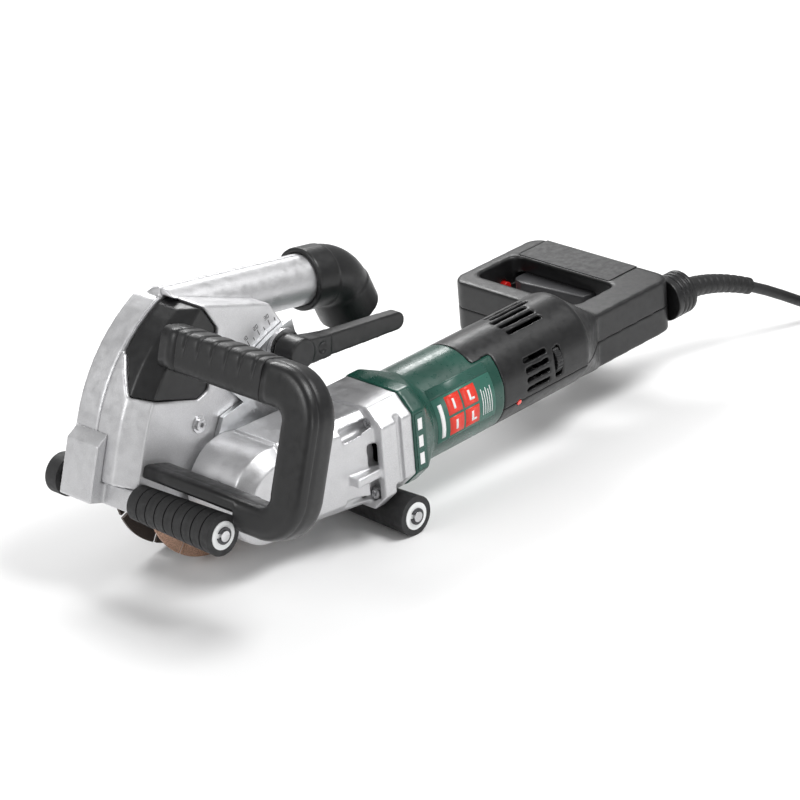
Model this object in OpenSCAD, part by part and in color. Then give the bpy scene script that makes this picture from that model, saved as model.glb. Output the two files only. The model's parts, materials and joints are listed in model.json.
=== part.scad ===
// Wall chaser: two diamond discs on one spindle, a guard that pivots on the rear axle for the
// cutting depth, a bow handle in front and a loop handle with the switch at the back.
// Millimetres. +X is the cutting direction, +Y the gear case side, +Z up. The chaser stands on
// its discs and rear rollers, with the guard set to full depth.

/* [Discs] */
// Diameter of each diamond disc
disc_d = 125; // [115:1:125]
// Distance between the middles of the two discs
disc_gap = 36.5; // [30:0.5:36.5]
// Thickness of a disc at its rim
disc_t = 2.4; // [1.8:0.2:2.4]
// Cutting depth below the roller plane
max_depth = 33.5; // [30:0.5:34]

/* [Carriage] */
// Distance between the front and rear axles
wheelbase = 200; // [198:1:202]
// Radius of the rollers and wheels at their widest
roller_r = 15.5; // [15:0.1:15.5]
// Distance from the rear axle to the spindle
spindle_reach = 122; // [121.5:0.1:122.5]
// Thickness of the cast guard walls
wall = 4; // [3.6:0.1:4]

/* [Motor] */
// Radius of the motor housing
motor_r = 38.1; // [37.5:0.1:38.5]
// Angle between the motor axis and the roller plane at full depth
unit_tilt = 19; // [18.8:0.1:19.2]

/* [Gears] */
// Teeth of the crown gear on the spindle
crown_teeth = 27; // [27:9:27]
// Teeth of the pinion on the motor shaft
pinion_teeth = 9; // [9:9:9]

/* [Cord] */
// Diameter of the mains cord
cord_d = 9; // [8:0.5:9]

/* [Hidden] */
$fn = 72;
disc_r = disc_d / 2;
near_disc_y = -49.5;
far_disc_y = near_disc_y - disc_gap;

// Placement: the rear axle lies roller_r above the floor, the spindle disc_r above it.
axis_lift = disc_r - roller_r;
nose_up = asin(axis_lift / spindle_reach) - asin((axis_lift - max_depth) / spindle_reach);
unit_rise = unit_tilt - nose_up;
spindle_run = sqrt(spindle_reach * spindle_reach - axis_lift * axis_lift);
front_edge = wheelbase * cos(nose_up) + roller_r;
sleeve_end = [-547, 12, -36];
sleeve_tip_r = 7;
rear_edge = spindle_run + sleeve_end[0] * cos(unit_rise) + (sleeve_end[2] - sleeve_tip_r) * sin(unit_rise);
rear_axle_x = -(front_edge + rear_edge) / 2;
near_edge_y = 66;
loop_far_y = -131.5;
motor_y = -48.5;
side_shift = -(near_edge_y + motor_y + loop_far_y) / 2;

// Guard, in the guard frame: origin at the near end of the front axle, X forward, Z square to
// the roller plane.
guard_near_y = -88;
guard_split_y = -128;
guard_far_y = -151;
crease_y = -105;
crease_run = 10;
guard_bottom = -8;
carrier_half = 8;
rim_c = [-119.5, 45];
rim_r = 132;
rim_sweep = 46;
guard_back = -156;
guard_top = 143;
clamp_at = [-117, 111];

module rod_y(r, y0, y1) { translate([0, y0, 0]) rotate([-90, 0, 0]) cylinder(r = r, h = y1 - y0); }
module rod_x(r, x0, x1) { translate([x0, 0, 0]) rotate([0, 90, 0]) cylinder(r = r, h = x1 - x0); }
module rod_z(r, z0, z1) { translate([0, 0, z0]) cylinder(r = r, h = z1 - z0); }
module slab_y(y0, y1) { translate([0, y1, 0]) rotate([90, 0, 0]) linear_extrude(y1 - y0) children(); }
module slab_x(x0, x1) { translate([x0, 0, 0]) rotate([90, 0, 90]) linear_extrude(x1 - x0) children(); }
module box(low, high) { translate(low) cube(high - low); }
module ring_y(r_out, r_in, y0, y1) {
    difference() {
        rod_y(r_out, y0, y1);
        rod_y(r_in, y0 - 1, y1 + 1);
    }
}
module ring_x(r_out, r_in, x0, x1) {
    difference() {
        rod_x(r_out, x0, x1);
        rod_x(r_in, x0 - 1, x1 + 1);
    }
}
// Rectangle from low to high with round corners of radius r.
module round_box(low, high, r) {
    translate([low[0] + r, low[1]]) square([high[0] - low[0] - 2 * r, high[1] - low[1]]);
    translate([low[0], low[1] + r]) square([high[0] - low[0], high[1] - low[1] - 2 * r]);
    for (x = [low[0] + r, high[0] - r], y = [low[1] + r, high[1] - r]) translate([x, y]) circle(r);
}
// Rectangle from low to high with its corners cut by c.
module cut_box(low, high, c) {
    polygon([
        [low[0] + c, low[1]], [high[0] - c, low[1]], [high[0], low[1] + c], [high[0], high[1] - c],
        [high[0] - c, high[1]], [low[0] + c, high[1]], [low[0], high[1] - c], [low[0], low[1] + c]
    ]);
}

module at_guard() {
    translate([rear_axle_x, side_shift, roller_r]) rotate([0, -nose_up, 0]) translate([wheelbase, 0, 0])
        children();
}
// Unit frame: origin where the motor axis crosses the spindle, X forward along the motor axis.
module at_unit() {
    translate([rear_axle_x + spindle_run, side_shift + motor_y, disc_r]) rotate([0, unit_rise, 0]) children();
}
// Guard side outline, drawn in from the outer face by inset; low is its bottom edge.
function guard_outline(inset, low) = concat(
    [[rim_c[0] + rim_r - inset, low]],
    [for (a = [0:5:rim_sweep]) rim_c + (rim_r - inset) * [cos(a), sin(a)]],
    [
        [-36, guard_top - inset], [-103, guard_top - inset], [-118 + inset / 2, 130 - inset / 2],
        [-142 + inset, 104], [guard_back + inset, 70], [guard_back + inset, low]
    ]
);
// Solid envelope of the near half: the full outline up to the crease, then a slope to the near face.
module near_envelope(inset, low) {
    slab_y(guard_split_y, crease_y) polygon(guard_outline(inset, low));
    hull() {
        slab_y(crease_y - 0.1, crease_y) polygon(guard_outline(inset, low));
        slab_y(guard_near_y - inset - 0.1, guard_near_y - inset) polygon([
            for (p = guard_outline(inset, low)) p[0] > -36 ? [p[0] - crease_run, p[1]] : p
        ]);
    }
}
// Room for the axle carrier in the lower front corner.
module carrier_notch() {
    box([-carrier_half - 0.1, guard_far_y - 1, guard_bottom - 1],
        [rim_c[0] + rim_r + 1, guard_near_y + 1, carrier_half + 0.1]);
}
// The suction tube is cast on, half on each shell; its front end runs out in the guard's top.
tube_r = 19.6;
tube_wall = 2.4;
tube_at = [-120, guard_split_y, 142];
tube_rise = 9.2;
tube_span = [-68, 88];
module tube_place() { translate(tube_at) rotate([0, tube_rise, 0]) children(); }
module tube_half(side) {
    intersection() {
        tube_place() rod_x(tube_r, tube_span[0], tube_span[1]);
        translate([0, guard_split_y, 0]) box([-250, min(0, 30 * side), 0], [0, max(0, 30 * side), 250]);
    }
}
module tube_bore() { tube_place() rod_x(tube_r - tube_wall, tube_span[0] - 1, tube_span[1] - 4); }
// Corner of the near half that the handle mount takes up; gap draws it in.
module mount_zone(gap) {
    difference() {
        slab_y(guard_split_y + 1 + gap, guard_near_y + 5) polygon([
            [-54 + gap, 80], [-45, 73 + gap], [20, 73 + gap], [20, 120], [-22, 142 - gap], [-36, 142 - gap],
            [-54 + gap, 126]
        ]);
        rotate([0, 90, 0]) translate([0, 0, -60]) linear_extrude(90) polygon([
            [-73 + 1, crease_y], [-100 - gap, guard_split_y + 4], [-100, guard_split_y - 9],
            [-60, guard_split_y - 9], [-60, crease_y]
        ]);
    }
}
// Path of the spindle in the guard as the depth changes, as a slot of half width r.
module depth_slot(radius, from, to, r, y0, y1) {
    translate([-wheelbase, 0, 0]) {
        slab_y(y0, y1) intersection() {
            difference() {
                circle(radius + r);
                circle(radius - r);
            }
            polygon([[0, 0], for (a = [from, (from + to) / 2, to]) 300 * [cos(a), sin(a)]]);
        }
        for (a = [from, to]) translate([radius * cos(a), 0, radius * sin(a)]) rod_y(r, y0, y1);
    }
}
slot_low = asin((axis_lift - max_depth) / spindle_reach);
slot_high = slot_low + nose_up;
clamp_radius = norm([clamp_at[0] + wheelbase, clamp_at[1]]);
clamp_angle = atan2(clamp_at[1], clamp_at[0] + wheelbase);
// Screws that join the shells, clear of the discs: [x, z] in the guard's side view.
shell_screw_at = [[-4, 58], [-135, 98], [-8, 24]];
shell_boss_r = 5.5;
module shell_bosses(y0, y1) {
    for (p = shell_screw_at) translate([p[0], 0, p[1]]) rod_y(shell_boss_r, y0, y1);
}
module shell_screw_holes() {
    for (p = shell_screw_at) translate([p[0], 0, p[1]]) rod_y(2.52, guard_far_y - 1, -108);
}
face_screw_at = [-49, 55];

module guard_near_shell() {
    color("silver") at_guard() difference() {
        union() {
            difference() {
                union() {
                    near_envelope(0, guard_bottom);
                    tube_half(1);
                }
                near_envelope(wall, guard_bottom - 5);
            }
            intersection() {
                shell_bosses(guard_split_y, guard_near_y);
                near_envelope(0.5, guard_bottom);
            }
            translate([face_screw_at[0], 0, face_screw_at[1]])
                rod_y(8, guard_near_y - wall - 3.7, guard_near_y);
        }
        tube_bore();
        mount_zone(0);
        carrier_notch();
        shell_screw_holes();
        depth_slot(spindle_reach, slot_low, slot_high, 13, guard_near_y - wall - 2, guard_near_y + 6);
        translate([face_screw_at[0], 0, face_screw_at[1]])
            rod_y(2.52, guard_near_y - wall - 5, guard_near_y + 1);
        translate([clamp_at[0], 0, clamp_at[1]]) rod_y(4.03, guard_near_y - wall - 1, guard_near_y + 1);
    }
}
module guard_far_shell() {
    color("silver") at_guard() difference() {
        union() {
            difference() {
                union() {
                    slab_y(guard_far_y, guard_split_y) polygon(guard_outline(0, guard_bottom));
                    tube_half(-1);
                }
                slab_y(guard_far_y + wall, guard_split_y + 1) polygon(guard_outline(wall, guard_bottom - 5));
            }
            intersection() {
                shell_bosses(guard_far_y, guard_split_y);
                slab_y(guard_far_y, guard_split_y) polygon(guard_outline(0.5, guard_bottom));
            }
        }
        tube_bore();
        carrier_notch();
        shell_screw_holes();
    }
}
bar_r = 4;
module front_carrier() {
    rim_x = rim_c[0] + rim_r;
    color("silver") at_guard() difference() {
        union() {
            box([-carrier_half, -159.5, -carrier_half], [carrier_half, guard_near_y + 0.5, carrier_half]);
            // Upright block on the front of the rim, between the wheel and the split.
            slab_y(guard_far_y + 2, -116) polygon([
                [0, -carrier_half], [rim_x + 8.5, -carrier_half], [rim_x + 8.5, 34], [rim_x, 44],
                [rim_x, carrier_half], [0, carrier_half]
            ]);
        }
        rod_y(bar_r + 0.03, -170, -80);
    }
}
module rear_carrier() {
    color("silver") at_guard() difference() {
        union() {
            slab_y(-159.5, guard_far_y) polygon([[-140, -8], [-140, 22], [-208, 9], [-208, -8]]);
            slab_y(-92, guard_near_y) polygon([[guard_back, -8], [guard_back, 24], [-208, 9], [-208, -8]]);
            translate([-wheelbase, 0, 0]) rod_y(8, -159.5, guard_near_y);
        }
        translate([-wheelbase, 0, 0]) rod_y(bar_r + 0.03, -170, -80);
    }
}
module axle(y0) {
    difference() {
        rod_y(bar_r, y0, 1.8);
        for (y = [-0.2, y0 + 1.2]) ring_y(bar_r + 1, bar_r - 0.6, y, y + 1.1);
    }
}
axle_far = -174.5;
module front_axle() { color("gainsboro") at_guard() axle(axle_far); }
module rear_axle() { color("gainsboro") at_guard() translate([-wheelbase, 0, 0]) axle(axle_far); }
module circlip(y) {
    difference() {
        ring_y(6.4, bar_r - 0.58, y + 0.05, y + 1.05);
        translate([0, y - 1, -1.8]) cube([9, 3, 3.6]);
    }
}
module axle_circlips() {
    color("dimgray") at_guard() for (x = [0, -wheelbase], y = [-0.2, axle_far + 1.2])
        translate([x, 0, 0]) circlip(y);
}
// Roller: a moulded core with a bore, and a rubber sleeve that tapers towards the guard.
taper = 2.4;
module roller_core(y0) { ring_y(10.6, bar_r + 0.06, y0, -0.4); }
module roller_sleeve(y0, grooves) {
    difference() {
        translate([0, y0, 0]) rotate([-90, 0, 0]) cylinder(r1 = roller_r - taper, r2 = roller_r, h = -y0 - 1);
        rod_y(10.6, y0 - 1, 1);
        for (i = [1:1:grooves])
            translate([0, y0 * i / (grooves + 1), 0]) ring_y(roller_r + 2, roller_r - taper - 0.9, 0, 1);
    }
}
module front_roller_core() { color("white") at_guard() roller_core(-86.6); }
module front_roller_sleeve() { color("dimgray") at_guard() roller_sleeve(-86.6, 8); }
module rear_roller_core() { color("white") at_guard() translate([-wheelbase, 0, 0]) roller_core(-83.2); }
module rear_roller_sleeve() {
    color("dimgray") at_guard() translate([-wheelbase, 0, 0]) roller_sleeve(-83.2, 0);
}
module side_wheel() {
    difference() {
        rod_y(roller_r, -172, -160.3);
        rod_y(bar_r + 0.06, -180, -150);
        ring_y(11.5, 7, -162.3, -150);
    }
}
module front_wheel() { color("dimgray") at_guard() side_wheel(); }
module rear_wheel() { color("dimgray") at_guard() translate([-wheelbase, 0, 0]) side_wheel(); }

// Handle mount: the moulded corner piece, set back from the casting's face.
mount_inset = 2.5;
mount_wall = 3.5;
module handle_mount() {
    color([0.06, 0.06, 0.06]) at_guard() intersection() {
        difference() {
            near_envelope(mount_inset, guard_bottom);
            near_envelope(mount_inset + mount_wall, guard_bottom - 5);
        }
        mount_zone(0.05);
    }
}
// Bow handle, in the guard frame: arms run along Y, the limb stands along Z.
bow_x = [-28, 0];
bow_top = [98, 130];
bow_low = [5, 28];
bow_limb = [34, near_edge_y];
bow_corner = 30;
bow_bend = 12;
// Side view of the bow, in Y and Z; the lower arm is thinner where it passes over the roller.
module bow_frame(inset) {
    difference() {
        round_box([-150, bow_low[0] + inset], [bow_limb[1] - inset, bow_top[1] - inset], bow_corner - inset);
        round_box([-130, bow_low[1] - inset], [bow_limb[0] + inset, bow_top[0] + inset], bow_bend);
        translate([-160, 60]) square([160 + guard_near_y - mount_inset + inset, 100]);
        translate([-160, -50]) square([160 + guard_near_y + inset, 120]);
        translate([-160, -50]) square([164 + inset, 50 + roller_r + 1.3 + inset]);
    }
}
grip_y = [-74, 12];
grip_skin = 2;
bow_wall = 5;
module bow_handle() {
    color([0.07, 0.07, 0.07]) at_guard() difference() {
        slab_x(bow_x[0], bow_x[1]) bow_frame(0);
        difference() {
            box([bow_x[0] - 1, grip_y[0], bow_top[0] - 1], [bow_x[1] + 1, grip_y[1], bow_top[1] + 1]);
            box([bow_x[0] + grip_skin, grip_y[0] - 1, bow_top[0] + grip_skin],
                [bow_x[1] - grip_skin, grip_y[1] + 1, bow_top[1] - grip_skin]);
        }
        // Hollow of the moulding; the arm over the roller is solid.
        slab_x(bow_x[0] + bow_wall, bow_x[1] - bow_wall) difference() {
            bow_frame(bow_wall);
            translate([-160, -50]) square([170, 110]);
        }
    }
}
module bow_grip() {
    color([0.12, 0.12, 0.12]) at_guard() difference() {
        box([bow_x[0], grip_y[0], bow_top[0]], [bow_x[1], grip_y[1], bow_top[1]]);
        box([bow_x[0] + grip_skin, grip_y[0] - 1, bow_top[0] + grip_skin],
            [bow_x[1] - grip_skin, grip_y[1] + 1, bow_top[1] - grip_skin]);
        for (y = [-66:16:-2])
            box([bow_x[0] - 1, y, bow_top[1] - 0.8], [bow_x[1] + 1, y + 1.2, bow_top[1] + 1]);
    }
}
// Cap screw along Y: head from y_head towards side, shank of the given length the other way.
module cap_screw(y_head, side, head_r, head_h, shank) {
    translate([0, y_head, 0]) rotate([-90 * side, 0, 0]) difference() {
        union() {
            cylinder(r = head_r, h = head_h);
            translate([0, 0, -shank]) cylinder(r = 2.5, h = shank + 0.5);
        }
        translate([0, 0, head_h - 1.6]) cylinder(r = 2.2, h = 3, $fn = 6);
    }
}
module guard_screws() {
    color("gray") at_guard() for (p = shell_screw_at) translate([p[0], 0, p[1]])
        cap_screw(guard_far_y, -1, 4.6, 3, 42);
}
module face_screw() {
    color("gray") at_guard() translate([face_screw_at[0], 0, face_screw_at[1]]) {
        cap_screw(guard_near_y, 1, 4.4, 2.9, 7.5);
        ring_y(6.5, 4, guard_near_y, guard_near_y + 1);
    }
}
stud_y = [-95, -64];
module clamp_stud() {
    color("gainsboro") at_guard() translate([clamp_at[0], 0, clamp_at[1]]) {
        rod_y(4, stud_y[0] + 2.9, stud_y[1]);
        rod_y(6.5, stud_y[0], stud_y[0] + 2.9);
    }
}
washer_y = [-83.2, -79.6];
module clamp_washer() {
    color("silver") at_guard() translate([clamp_at[0], 0, clamp_at[1]])
        ring_y(15, 4.05, washer_y[0], washer_y[1]);
}
lever_rise = 10.5;
lever_len = 112;
module clamp_lever() {
    color([0.08, 0.08, 0.08]) at_guard() translate([clamp_at[0], 0, clamp_at[1]]) rotate([0, lever_rise, 0])
        difference() {
            union() {
                rod_y(12, -79.3, -60);
                hull() {
                    translate([-6, -77, -10]) cube([2, 16, 20]);
                    translate([-32, -76, -9]) cube([2, 13, 17]);
                }
                hull() {
                    translate([-30, -76, -9]) cube([2, 12, 17]);
                    translate([-lever_len + 8, -72, 2]) rod_y(7, -3, 7);
                }
            }
            rod_y(4.05, -80, stud_y[1] + 0.3);
            translate([-22, 0, 0]) rod_y(4, -64, -50);
        }
}
// Elbow on the end of the tube: a bend downwards to the rear with a hose socket.
elbow_r = 23.5;
elbow_bore = 18;
elbow_bend = 32;
elbow_turn = 58;
socket_len = 20;
// Straight end, bend and socket, the ends of radius end_r and the bend of radius bend_r.
module elbow_path(bend_r, end_r, reach) {
    bend_x = tube_span[0] - 2;
    rod_x(end_r, bend_x - 3, bend_x + 18 + reach);
    translate([bend_x, 0, -elbow_bend]) {
        rotate([90, 0, 0]) rotate([0, 0, 90])
            rotate_extrude(angle = elbow_turn) translate([elbow_bend, 0]) circle(bend_r);
        rotate([0, -elbow_turn, 0]) translate([0, 0, elbow_bend]) rod_x(end_r, -socket_len - reach, 3);
    }
}
module suction_elbow() {
    color([0.08, 0.08, 0.08]) at_guard() tube_place() difference() {
        elbow_path(elbow_r, elbow_r + 0.8, 0);
        elbow_path(elbow_bore - 0.6, elbow_bore, 1);
        rod_x(tube_r + 0.06, tube_span[0] - 1, tube_span[0] + 20);
    }
}

// Motor unit, in the unit frame.
flange_mid = 97;
flange_top = 41;
plate_y = [-39, -35];
screw_at = [[28, 27], [29, -29.5], [-26, 27], [-26, -26]];
module case_outline(z0, grow) { cut_box([-35, z0], [44 + grow, flange_top + grow], 14); }
module gear_case() {
    color("silver") at_unit() difference() {
        union() {
            rod_y(37, -35, 12);
            translate([0, 12, 0]) rotate([-90, 0, 0]) cylinder(r1 = 37, r2 = 26, h = 10);
            hull() {
                slab_x(-12, -10) cut_box([-35, -34], [18, 38], 6);
                slab_x(-90, -88) cut_box([-35, -38], [36, 38], 12);
            }
            slab_x(-flange_mid, -86) case_outline(-42, 0);
            slab_x(-118, -flange_mid) case_outline(-34.8, 0);
            // Rib that runs forward from the flange between the air outlets.
            box([-90, 10, -12], [-62, 41, -5]);
        }
        rod_y(31, -31.5, 7);
        rod_y(8.05, 0, 18);
        rod_y(24.02, -40, -30);
        rod_x(16.02, -64, -13);
        rod_x(24, -100, -63);
        rod_x(33, -119, -92);
        // Air outlets in the front of the flange.
        for (z = [[-5 + 1, 14], [-32, -13]], y = [[16, 25], [27.5, 37]])
            box([-95, y[0], z[0]], [-80, y[1], z[1]]);
        box([-95, -14, 27], [-70, 12, 36]);
        // Groove between the two lips of the flange.
        slab_x(-107, -102) difference() {
            square(200, center = true);
            cut_box([-60, -60], [40, 60], 14);
        }
        for (p = screw_at) translate([0, p[0], p[1]]) {
            rod_x(2.6, -119, -60);
            rod_x(5.2, -92, -60);
        }
    }
}
module gear_case_screws() {
    color("gray") at_unit() for (p = screw_at) translate([0, p[0], p[1]]) difference() {
        union() {
            rod_x(2.5, -128, -92);
            rod_x(4.6, -92, -88);
        }
        translate([-90, 0, 0]) rotate([0, 90, 0]) cylinder(r = 2.4, h = 5, $fn = 6);
    }
}
// Plate between gear case and guard: it carries the unit on the rear axle and has the slot that
// the clamp stud runs in.
plate_out = 153;
plate_in = 124;
module depth_bracket() {
    color("lightgray") {
        at_guard() difference() {
            union() {
                translate([-wheelbase, 0, 0]) slab_y(motor_y + plate_y[0], motor_y + plate_y[1]) {
                    intersection() {
                        difference() {
                            circle(plate_out, $fn = 144);
                            circle(plate_in, $fn = 144);
                        }
                        polygon([[0, 0], for (a = [32, 46, 60]) 300 * [cos(a), sin(a)]]);
                    }
                    circle(11);
                    polygon([
                        [-9, -6], [0, -11], [112, -18], [136, 34], [132, 60], [108, 74], [84, 56], [-8, 8]
                    ]);
                }
                translate([-wheelbase + spindle_reach * cos(slot_low), 0, axis_lift - max_depth])
                    rod_y(30, motor_y + plate_y[0], motor_y + plate_y[1]);
            }
            depth_slot(clamp_radius, clamp_angle - nose_up - 0.5, clamp_angle, 4.4, -100, -70);
            translate([-wheelbase, 0, 0]) rod_y(bar_r + 0.06, -100, -70);
            translate([-wheelbase + spindle_reach * cos(slot_low), 0, axis_lift - max_depth])
                rod_y(24.02, -100, -70);
        }
    }
}
// Cup through the plate into the gear case, with the spindle bearing in it.
module bearing_cover() {
    color("gainsboro") at_unit() {
        ring_y(24, 20.02, plate_y[0], -27);
        ring_y(21, 9, plate_y[0], -37);
    }
}
module spindle_bearing() { color("gray") at_unit() ring_y(20, 8.05, -37, -27); }
module motor_housing() {
    color([0.02, 0.24, 0.18]) at_unit() difference() {
        union() {
            slab_x(-130, -118) case_outline(-34.8, 1);
            hull() {
                slab_x(-130.1, -130) case_outline(-34.8, 1);
                rod_x(motor_r, -146, -145.9);
            }
            rod_x(motor_r, -224, -140);
        }
        rod_x(motor_r - 3.3, -230, -138);
        rod_x(32, -140, -110);
        box([-230, -60, 29], [-204, 60, 60]);
        for (p = screw_at) translate([0, p[0], p[1]]) rod_x(2.5, -129, -110);
    }
}
module stator() {
    color("dimgray") at_unit() difference() {
        ring_x(motor_r - 3.4, 23.5, -214, -152);
        for (s = [-1, 1]) translate([-230, -10, s * 40 - 8]) cube([90, 20, 16]);
    }
}
module front_bearing() { color("gray") at_unit() ring_x(16, 5.05, -62, -53); }
// Bulkhead of the rear shells that holds the rear bearing and the brush holders.
bulkhead_x = [-263.4, -252.4];
module rear_bearing() { color("gray") at_unit() ring_x(11, 4.05, -262, -255); }
module brush_holders() {
    color("goldenrod") at_unit() for (s = [-1, 1]) difference() {
        translate([bulkhead_x[1], -5, s == 1 ? 14.4 : -32]) cube([-234 - bulkhead_x[1], 10, 17.6]);
        translate([-246.05, -3.05, s == 1 ? 14 : -30.5]) cube([9.1, 6.1, 16.5]);
    }
}
module carbon_brushes() {
    color([0.1, 0.1, 0.1]) at_unit()
        for (s = [-1, 1]) translate([-246, -3, s == 1 ? 12.3 : -28.3]) cube([9, 6, 16]);
}

// Rear shells: round motor end that runs into a flat loop handle, split along one plane.
split_z = -14;
loop_z = [-36, 9];
loop_x = [-450, -345];
loop_y = [loop_far_y, 15];
hole_x = [-412, -363];
hole_y = [-120, -13];
neck_step = 0.8;
tongue_x = -204.1;
rear_front_x = -224.1;
module loop_plan(inset) {
    difference() {
        round_box([loop_x[0] + inset, loop_y[0] + inset], [loop_x[1] - inset, loop_y[1] - inset], 14 - inset);
        round_box([hole_x[0] - inset, hole_y[0] - inset], [hole_x[1] + inset, hole_y[1] + inset], 9);
    }
}
module rear_body(inset) {
    rod_x(motor_r - inset, -322, tongue_x);
    // The neck starts a little inside the round end and flattens into the loop.
    hull() {
        rotate([0, 90, 0]) translate([0, 0, -321]) cylinder(r = motor_r - inset - neck_step, h = 1, $fn = 32);
        translate([-352, 0, loop_z[0] + inset]) linear_extrude(loop_z[1] - loop_z[0] - 2 * inset)
            translate([-5, -50 + inset]) square([6, 65 - 2 * inset]);
    }
    translate([0, 0, loop_z[0] + inset]) linear_extrude(loop_z[1] - loop_z[0] - 2 * inset) loop_plan(inset);
}
trigger_y = [-118, -36];
trigger_z = [-22, -6];
shell_wall = 3.2;
dial_at = [-286, 27, 3];
dial_r = 12.5;
// The children are the room that a shell takes up.
module rear_shell() {
    difference() {
        intersection() {
            union() {
                difference() {
                    rear_body(0);
                    rear_body(shell_wall);
                    rod_x(motor_r - shell_wall, -260, tongue_x + 1);
                }
                difference() {
                    rod_x(motor_r - shell_wall + 0.5, bulkhead_x[0], bulkhead_x[1]);
                    rod_x(11.02, bulkhead_x[0] - 1, bulkhead_x[1] + 1);
                }
                // Bracket of the speed dial.
                box([dial_at[0] - 11, 22, -2], [dial_at[0] - 5, 36, 8]);
            }
            children();
        }
        translate([0, dial_at[1], dial_at[2]]) rod_x(2.55, dial_at[0] - 12, dial_at[0]);
        box([dial_at[0] - 4, 30, dial_at[2] - 12], [dial_at[0] + 4, 50, dial_at[2] + 12]);
        box(
            [hole_x[0] - 9, trigger_y[0] - 0.4, trigger_z[0] - 0.4],
            [hole_x[0] + 3, trigger_y[1] + 1, trigger_z[1] + 0.4]
        );
        translate([lock_x, 0, split_z]) rod_y(5.1, -127, -110);
        translate([loop_x[0], collar_y, collar_z]) rod_x(8.05, -10, 20);
        for (v = vent_rows) vent_cut(v);
        box([grip_x[0], grip_span[0], loop_z[1] - 2], [grip_x[1], grip_span[1], loop_z[1] + 1]);
        rotate([-23, 0, 0]) translate([-242, 0, 0]) rod_y(2.3, 30, 50);
    }
}
lock_x = -396;
// Air slots: [middle x, angle round the axis from +Y, length]
vent_rows = [
    for (a = [25, 13, 1, -11]) [-263, a, 26],
    for (a = [64, 76, 88]) [-272, a, 38],
    for (a = [98, 108]) [-279, a, 42]
];
module vent_cut(v) {
    rotate([v[1], 0, 0]) translate([v[0] - v[2] / 2, motor_r - 7, -1.9]) cube([v[2], 12, 3.8]);
}
module rear_shell_upper() {
    color([0.09, 0.09, 0.1]) at_unit() rear_shell() {
        box([-460, -150, split_z], [rear_front_x, 60, 60]);
        // Tongue that laps forward over the motor housing.
        box([rear_front_x - 6, -60, 29.1], [tongue_x + 1, 60, 60]);
    }
}
module rear_shell_lower() {
    color([0.09, 0.09, 0.1]) at_unit() rear_shell() box([-460, -150, -60], [rear_front_x, 60, split_z]);
}
grip_x = [-449, -414];
grip_span = [-118, -22];
module grip_cover() {
    color([0.14, 0.14, 0.14]) at_unit() box(
        [grip_x[0] + 0.1, grip_span[0] + 0.1, loop_z[1] - 2], [grip_x[1] - 0.1, grip_span[1] - 0.1, loop_z[1]]
    );
}
module switch_module() { color("black") at_unit() box([-446.8, -90, -32.8], [-427, -50, 0]); }
module signal_lens() {
    color("white") at_unit() rotate([-23, 0, 0]) translate([-242, 0, 0]) rod_y(2.25, 34, 38.3);
}
module speed_dial() {
    color([0.1, 0.1, 0.1]) at_unit() translate(dial_at) difference() {
        union() {
            rod_x(dial_r, -3, 3);
            rod_x(2.5, -10.5, 3);
        }
        for (a = [0:15:345]) rotate([a, 0, 0]) translate([0, 0, dial_r + 0.3]) rod_x(0.9, -4, 4);
    }
}
collar_y = -4;
collar_z = -15;
module cable_collar() {
    color([0.08, 0.08, 0.08]) at_unit() difference() {
        union() {
            translate([loop_x[0], collar_y, collar_z]) rod_x(8, -1, 8);
            translate([loop_x[0], 3, collar_z]) rod_x(18, -22, -0.1);
        }
        for (x = [-18, -13, -8]) translate([loop_x[0], 3, collar_z]) ring_x(20, 16.6, x, x + 1.6);
    }
}
sleeve_start = [-472.1, 3, -15];
function sleeve_point(t) = [
    sleeve_start[0] + (sleeve_end[0] - sleeve_start[0]) * t,
    sleeve_start[1] + (sleeve_end[1] - sleeve_start[1]) * t * t,
    sleeve_start[2] + (sleeve_end[2] - sleeve_start[2]) * t * (0.3 + 0.7 * t)
];
module cable_sleeve() {
    color([0.05, 0.05, 0.05]) at_unit() for (i = [0:1:5]) hull() for (t = [i / 6, (i + 1) / 6])
        translate(sleeve_point(t)) rotate([0, 90 + 16 * t, 0])
            cylinder(r = 9 - 2 * t, h = 0.8, center = true, $fn = 32);
}

// Spindle group.
module spindle() { color("gainsboro") at_unit() rod_y(8, far_disc_y - 8, 16); }
module disc_flange() { color("silver") at_unit() ring_y(20, 8.01, near_disc_y + 1, near_disc_y + 5.7); }
module disc_spacer() { color("silver") at_unit() ring_y(17, 8.01, far_disc_y + 1, near_disc_y - 1); }
module clamp_nut() {
    color("gray") at_unit() difference() {
        ring_y(20, 8.01, far_disc_y - 6.6, far_disc_y - 1);
        for (a = [0, 180]) rotate([0, a, 0]) translate([14, 0, 0]) rod_y(2.2, far_disc_y - 7, far_disc_y - 3);
    }
}
segments = 9;
module disc(y, t_core) {
    difference() {
        union() {
            ring_y(disc_r - 8, 8.01, y - t_core / 2, y + t_core / 2);
            ring_y(disc_r, disc_r - 9, y - disc_t / 2, y + disc_t / 2);
        }
        for (i = [0:1:segments - 1]) rotate([0, i * 360 / segments, 0]) {
            translate([disc_r - 12, y - 3, -1.6]) cube([20, 6, 3.2]);
            translate([disc_r - 12, 0, 0]) rod_y(3, y - 3, y + 3);
        }
    }
}
module near_disc() { color("peru") at_unit() rotate([0, 12, 0]) disc(near_disc_y, 2); }
module far_disc() { color("gray") at_unit() rotate([0, 20, 0]) disc(far_disc_y, 2); }

// Bevel pair: both pitch cones meet where the two axes cross.
pitch_pinion = 8;
pitch_crown = pitch_pinion * crown_teeth / pinion_teeth;
crown_cone = atan2(pitch_crown, pitch_pinion);
tooth_over = 3;
tooth_under = 3.6;
// The crown gear's teeth run between these two levels under the motor axis.
crown_low = 10.4;
crown_high = 5;
// A tooth of the pinion points straight at the crown gear, into a gap of it.
pinion_turn = 270 % (360 / pinion_teeth);
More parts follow.
